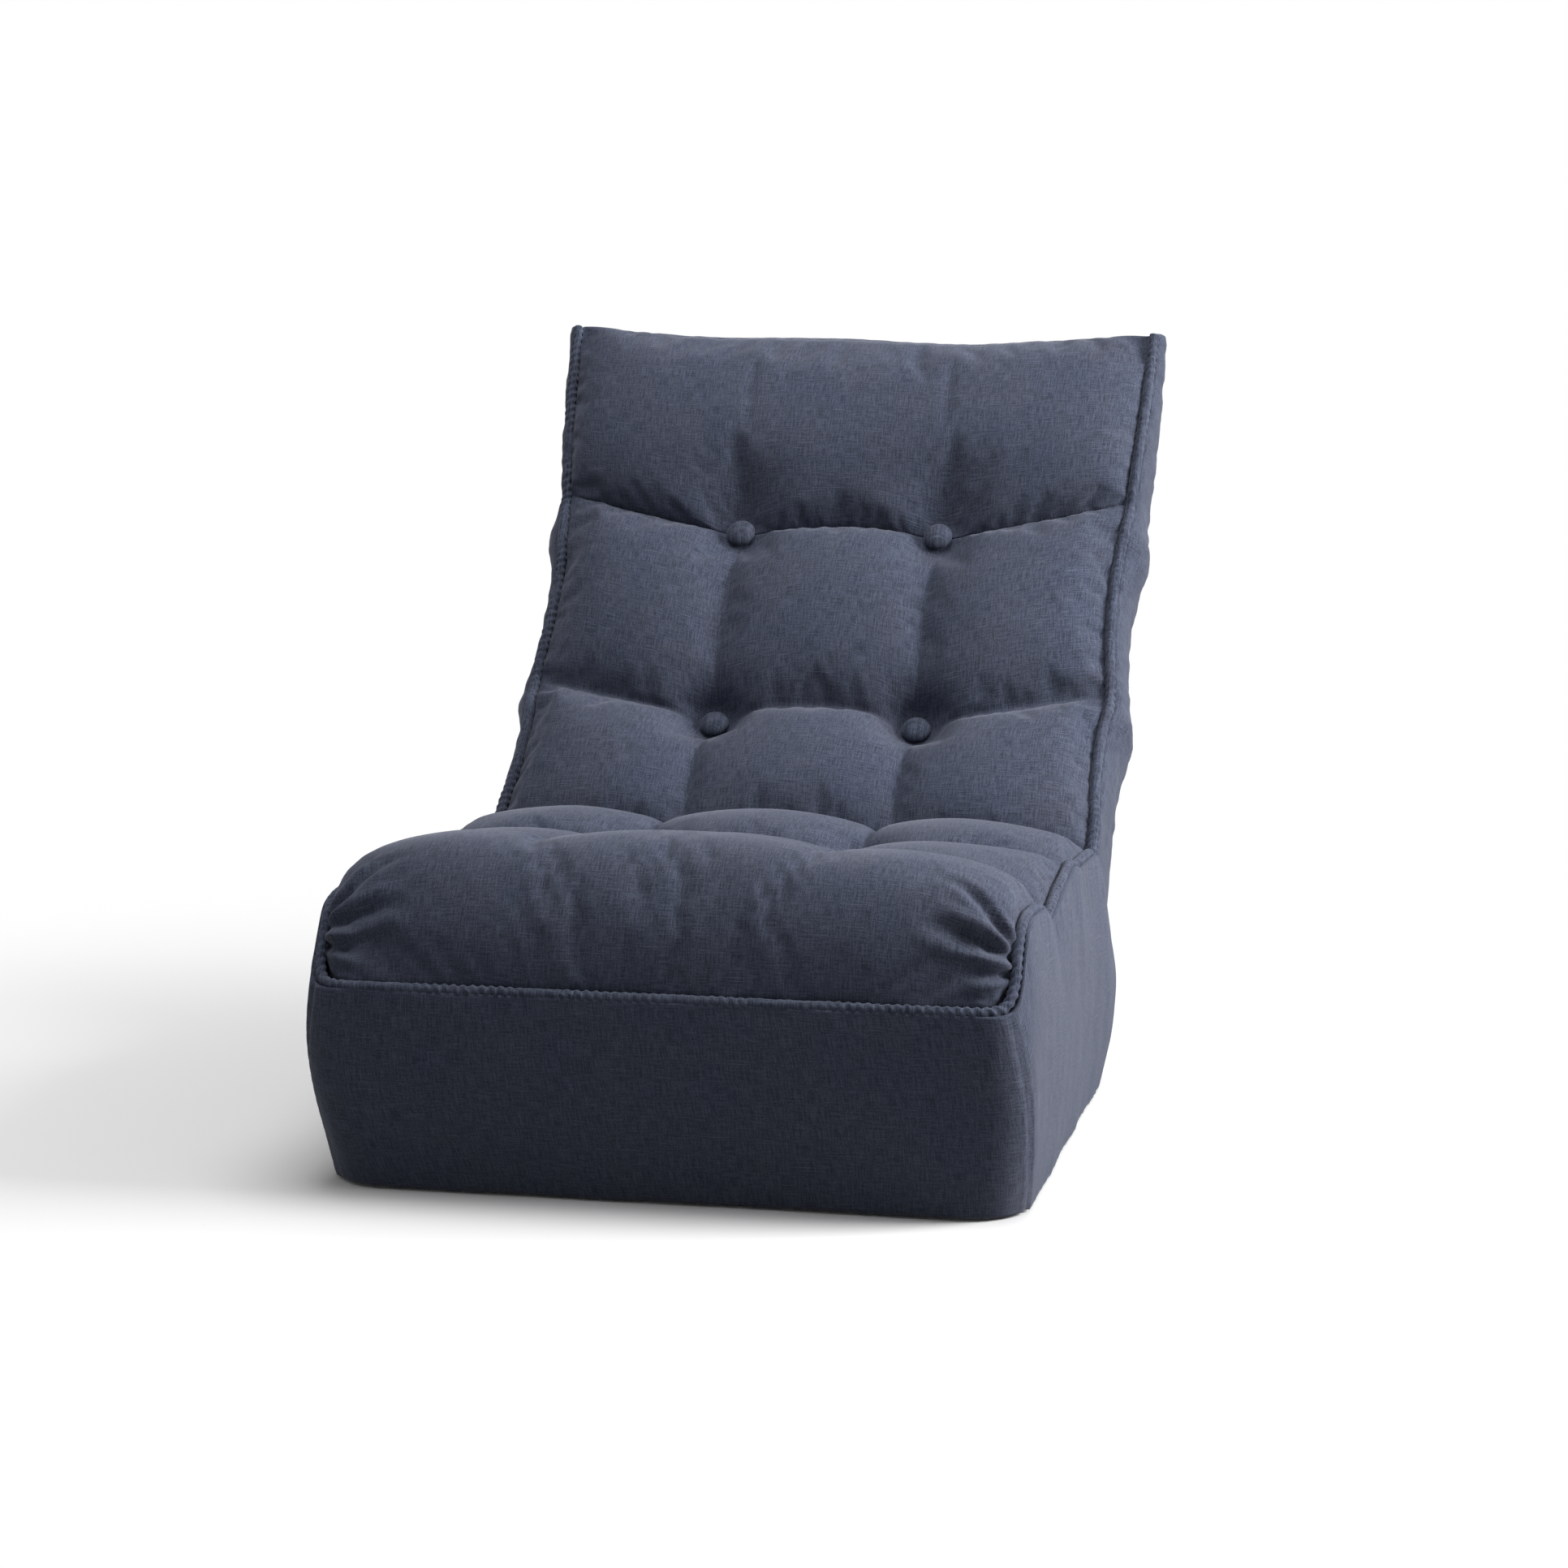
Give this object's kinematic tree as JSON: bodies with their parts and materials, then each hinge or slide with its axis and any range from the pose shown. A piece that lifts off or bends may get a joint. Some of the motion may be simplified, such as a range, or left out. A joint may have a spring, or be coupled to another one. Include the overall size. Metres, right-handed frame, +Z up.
{
  "type": "reclining floor chair",
  "caption": "Legless padded floor chair: a boxed seat, a button-tufted back that reclines and a tilting headrest, all on hidden ratchet hinges.",
  "frame": {"origin": "on the floor, centred across the width, at the middle of the seat base from front to rear", "axes": "+Z up, +Y towards the back of the chair, +X to the left of a person sitting in it"},
  "size_m": [0.653, 0.9829, 0.724],
  "materials": {
    "navy_linen": "matte slub weave",
    "black_cloth": "matte non-woven",
    "foam": "open-cell foam",
    "painted_steel": "satin paint",
    "zinc_steel": "zinc plated"
  },
  "bodies": {
    "seat": {"base_foam": "foam", "base_cover": "navy_linen", "bottom_cloth": "black_cloth", "seat_cushion": "navy_linen", "seat_welt": "navy_linen", "seat_frame": "painted_steel", "seat_cross_bar": "painted_steel", "seat_button_front_right": "navy_linen", "seat_button_front_left": "navy_linen", "seat_button_rear_right": "navy_linen", "seat_button_rear_left": "navy_linen", "recline_casing_right": "zinc_steel", "recline_casing_left": "zinc_steel", "recline_pivot_right": "zinc_steel", "recline_pivot_left": "zinc_steel", "recline_pawl_spring_right": "zinc_steel", "recline_pawl_spring_left": "zinc_steel"},
    "back": {"back_cushion": "navy_linen", "back_pad": "foam", "back_cover": "navy_linen", "back_cross_bar_1": "painted_steel", "back_cross_bar_2": "painted_steel", "back_welt_right": "navy_linen", "back_welt_left": "navy_linen", "back_button_lower_right": "navy_linen", "back_button_lower_left": "navy_linen", "back_button_upper_right": "navy_linen", "back_button_upper_left": "navy_linen", "back_tube_right": "painted_steel", "back_tube_left": "painted_steel", "recline_arm_right": "zinc_steel", "recline_arm_left": "zinc_steel", "headrest_casing_right": "zinc_steel", "headrest_casing_left": "zinc_steel", "headrest_pivot_right": "zinc_steel", "headrest_pivot_left": "zinc_steel", "headrest_pawl_spring_right": "zinc_steel", "headrest_pawl_spring_left": "zinc_steel"},
    "headrest": {"headrest_cushion": "navy_linen", "headrest_pad": "foam", "headrest_cover": "navy_linen", "headrest_frame": "painted_steel", "headrest_welt_right": "navy_linen", "headrest_welt_left": "navy_linen", "headrest_arm_right": "zinc_steel", "headrest_arm_left": "zinc_steel"},
    "recline_catch_right": {"recline_pawl_right": "zinc_steel"},
    "recline_catch_left": {"recline_pawl_left": "zinc_steel"},
    "headrest_catch_right": {"headrest_pawl_right": "zinc_steel"},
    "headrest_catch_left": {"headrest_pawl_left": "zinc_steel"}
  },
  "joints": [
    {"name": "back_recline", "type": "hinge", "parent": "seat", "child": "back", "pos_m": [0, 0.295, 0.192], "axis": [1, 0, 0], "range_deg": [-45, 35]},
    {"name": "headrest_tilt", "type": "hinge", "parent": "back", "child": "headrest", "pos_m": [0, 0.58533, 0.53616], "axis": [1, 0, 0], "range_deg": [-10, 30]},
    {"name": "recline_catch_right_lift", "type": "hinge", "parent": "seat", "child": "recline_catch_right", "pos_m": [-0.225, 0.27499, 0.16639], "axis": [-1, 0, 0], "range_deg": [0, 6], "stiffness_Nm_per_rad": 0.05, "springref_deg": -2.86},
    {"name": "recline_catch_left_lift", "type": "hinge", "parent": "seat", "child": "recline_catch_left", "pos_m": [0.225, 0.27499, 0.16639], "axis": [-1, 0, 0], "range_deg": [0, 6], "stiffness_Nm_per_rad": 0.05, "springref_deg": -2.86},
    {"name": "headrest_catch_right_lift", "type": "hinge", "parent": "back", "child": "headrest_catch_right", "pos_m": [-0.2221, 0.59374, 0.50477], "axis": [-1, 0, 0], "range_deg": [0, 6], "stiffness_Nm_per_rad": 0.05, "springref_deg": -2.86},
    {"name": "headrest_catch_left_lift", "type": "hinge", "parent": "back", "child": "headrest_catch_left", "pos_m": [0.2221, 0.59374, 0.50477], "axis": [-1, 0, 0], "range_deg": [0, 6], "stiffness_Nm_per_rad": 0.05, "springref_deg": -2.86}
  ]
}
